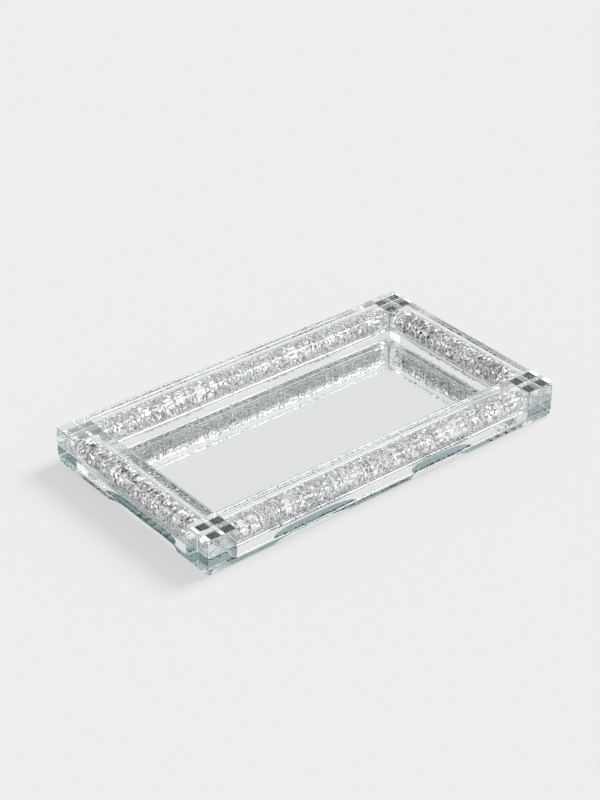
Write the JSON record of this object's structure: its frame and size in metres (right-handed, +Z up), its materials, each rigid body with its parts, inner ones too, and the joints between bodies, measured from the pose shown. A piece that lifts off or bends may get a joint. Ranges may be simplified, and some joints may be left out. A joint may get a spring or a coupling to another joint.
{
  "type": "mirrored vanity tray",
  "caption": "Rectangular mirrored tray with a raised frame of square clear glass bars filled with crushed crystal, solid glass corner cubes and a thin felt backing pad.",
  "frame": {"origin": "under the middle of the tray, on the surface that the backing pad lies on", "axes": "+X along the long side, +Y from the front bar to the back bar, +Z up"},
  "size_m": [0.33, 0.185, 0.0302],
  "materials": {
    "crystal_glass": "clear polished crystal glass",
    "plate_glass": "polished float glass with a faint green edge",
    "mirror_silver": "silvered lower face with backing paint",
    "crushed_crystal": "crushed clear and foil-silvered crystal chips",
    "clear_adhesive": "clear UV-cured adhesive film",
    "backing_felt": "thin pale pressed felt"
  },
  "bodies": {
    "root": {"backing_pad": "backing_felt", "mirror_plate": "plate_glass", "mirror_silvering": "mirror_silver", "rail_front": "crystal_glass", "rail_back": "crystal_glass", "rail_left": "crystal_glass", "rail_right": "crystal_glass", "crystal_fill_front": "crushed_crystal", "crystal_fill_back": "crushed_crystal", "crystal_fill_left": "crushed_crystal", "crystal_fill_right": "crushed_crystal", "corner_cube_front_left": "crystal_glass", "corner_cube_front_right": "crystal_glass", "corner_cube_back_left": "crystal_glass", "corner_cube_back_right": "crystal_glass", "bond_film_rail_front": "clear_adhesive", "bond_film_rail_back": "clear_adhesive", "bond_film_rail_left": "clear_adhesive", "bond_film_rail_right": "clear_adhesive", "bond_film_cube_front_left": "clear_adhesive", "bond_film_cube_front_right": "clear_adhesive", "bond_film_cube_back_left": "clear_adhesive", "bond_film_cube_back_right": "clear_adhesive"}
  },
  "joints": []
}
